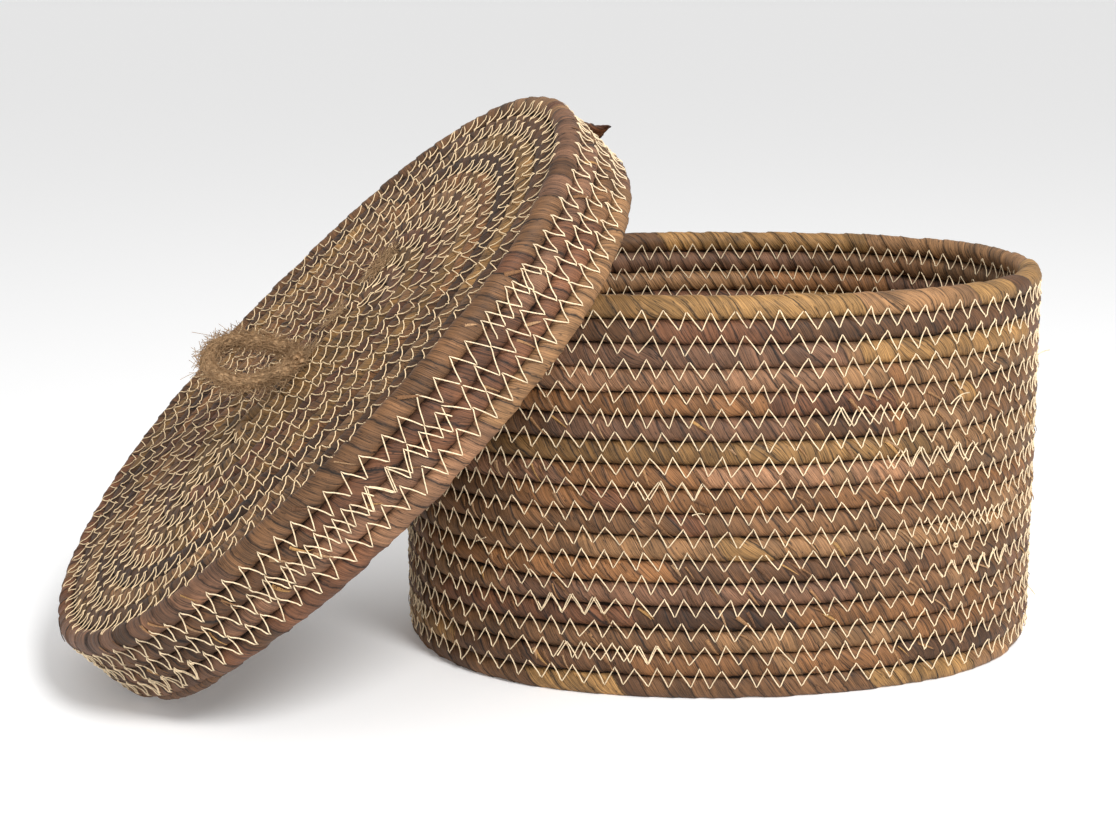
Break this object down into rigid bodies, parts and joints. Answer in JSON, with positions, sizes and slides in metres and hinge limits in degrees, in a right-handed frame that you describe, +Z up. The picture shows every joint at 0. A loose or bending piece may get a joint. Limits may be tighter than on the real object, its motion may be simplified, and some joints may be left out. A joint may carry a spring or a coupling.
{
  "type": "lidded storage basket",
  "caption": "Oval coiled leaf-rope storage basket, sewn in zigzag thread, with a slip-over lid leaning on its end and a jute loop on the lid.",
  "frame": {"origin": "on the floor, under the middle of the basket", "axes": "+X along the basket's long axis away from the leaning lid, +Y to the back, +Z up"},
  "size_m": [0.5031, 0.3273, 0.2807],
  "materials": {
    "base_leaf": "matte dry leaf",
    "wall_leaf": "matte dry leaf",
    "rim_leaf": "dry leaf with a slight sheen",
    "lid_leaf": "matte dry leaf",
    "lid_skirt_leaf": "matte dry leaf",
    "lid_rim_leaf": "dry leaf with a slight sheen",
    "dark_leaf": "matte dry leaf",
    "sewing_thread": "matte cotton thread",
    "jute": "matte hairy jute"
  },
  "bodies": {
    "basket": {"base_middle_strand": "base_leaf", "base_turn_01": "base_leaf", "base_turn_02": "base_leaf", "base_turn_03": "base_leaf", "base_turn_04": "base_leaf", "base_turn_05": "base_leaf", "base_turn_06": "base_leaf", "base_turn_07": "base_leaf", "base_turn_08": "base_leaf", "base_turn_09": "base_leaf", "wall_course_01": "wall_leaf", "wall_course_02": "wall_leaf", "wall_course_03": "wall_leaf", "wall_course_04": "wall_leaf", "wall_course_05": "wall_leaf", "wall_course_06": "wall_leaf", "wall_course_07": "wall_leaf", "wall_course_08": "wall_leaf", "wall_course_09": "wall_leaf", "wall_course_10": "wall_leaf", "wall_course_11": "wall_leaf", "wall_course_12": "wall_leaf", "wall_course_13": "wall_leaf", "wall_course_14": "wall_leaf", "wall_course_15": "wall_leaf", "wall_course_16": "wall_leaf", "rim_course": "rim_leaf", "base_stitching": "sewing_thread", "wall_stitching": "sewing_thread"},
    "lid_knot": {"loop_knot": "jute"},
    "lid": {"lid_middle_strand": "lid_leaf", "lid_turn_01": "lid_leaf", "lid_turn_02": "lid_leaf", "lid_turn_03": "lid_leaf", "lid_turn_04": "lid_leaf", "lid_turn_05": "lid_leaf", "lid_turn_06": "lid_leaf", "lid_turn_07": "lid_leaf", "lid_turn_08": "lid_leaf", "lid_turn_09": "lid_leaf", "lid_turn_10": "lid_leaf", "lid_corner_course": "lid_skirt_leaf", "lid_skirt_course_02": "lid_skirt_leaf", "lid_skirt_course_03": "lid_skirt_leaf", "lid_rim_course": "lid_rim_leaf", "lid_top_stitching": "sewing_thread", "lid_skirt_stitching": "sewing_thread", "lid_rope_tail": "dark_leaf", "loop_cord": "jute"},
    "loop": {"loop_handle": "jute"}
  },
  "joints": [
    {"name": "lid_carry", "type": "hinge", "parent": "basket", "child": "lid_knot", "pos_m": [-0.1051, -0.03213, 0.1901], "axis": [-0.2924, 0.9563, 0], "range_deg": [0, 204.15]},
    {"name": "lid_level", "type": "hinge", "parent": "lid_knot", "child": "lid", "pos_m": [-0.201, -0.06145, 0.14514], "axis": [-0.2924, 0.9563, 0], "range_deg": [-158.15, 0]},
    {"name": "loop_flop", "type": "hinge", "parent": "lid", "child": "loop", "pos_m": [-0.2151, -0.06576, 0.15938], "axis": [-0.2924, 0.9563, 0], "range_deg": [-12, 102]}
  ],
  "couplings": [
    {"joint": "lid_level", "follows": "lid_carry", "ratio": -0.77467}
  ]
}
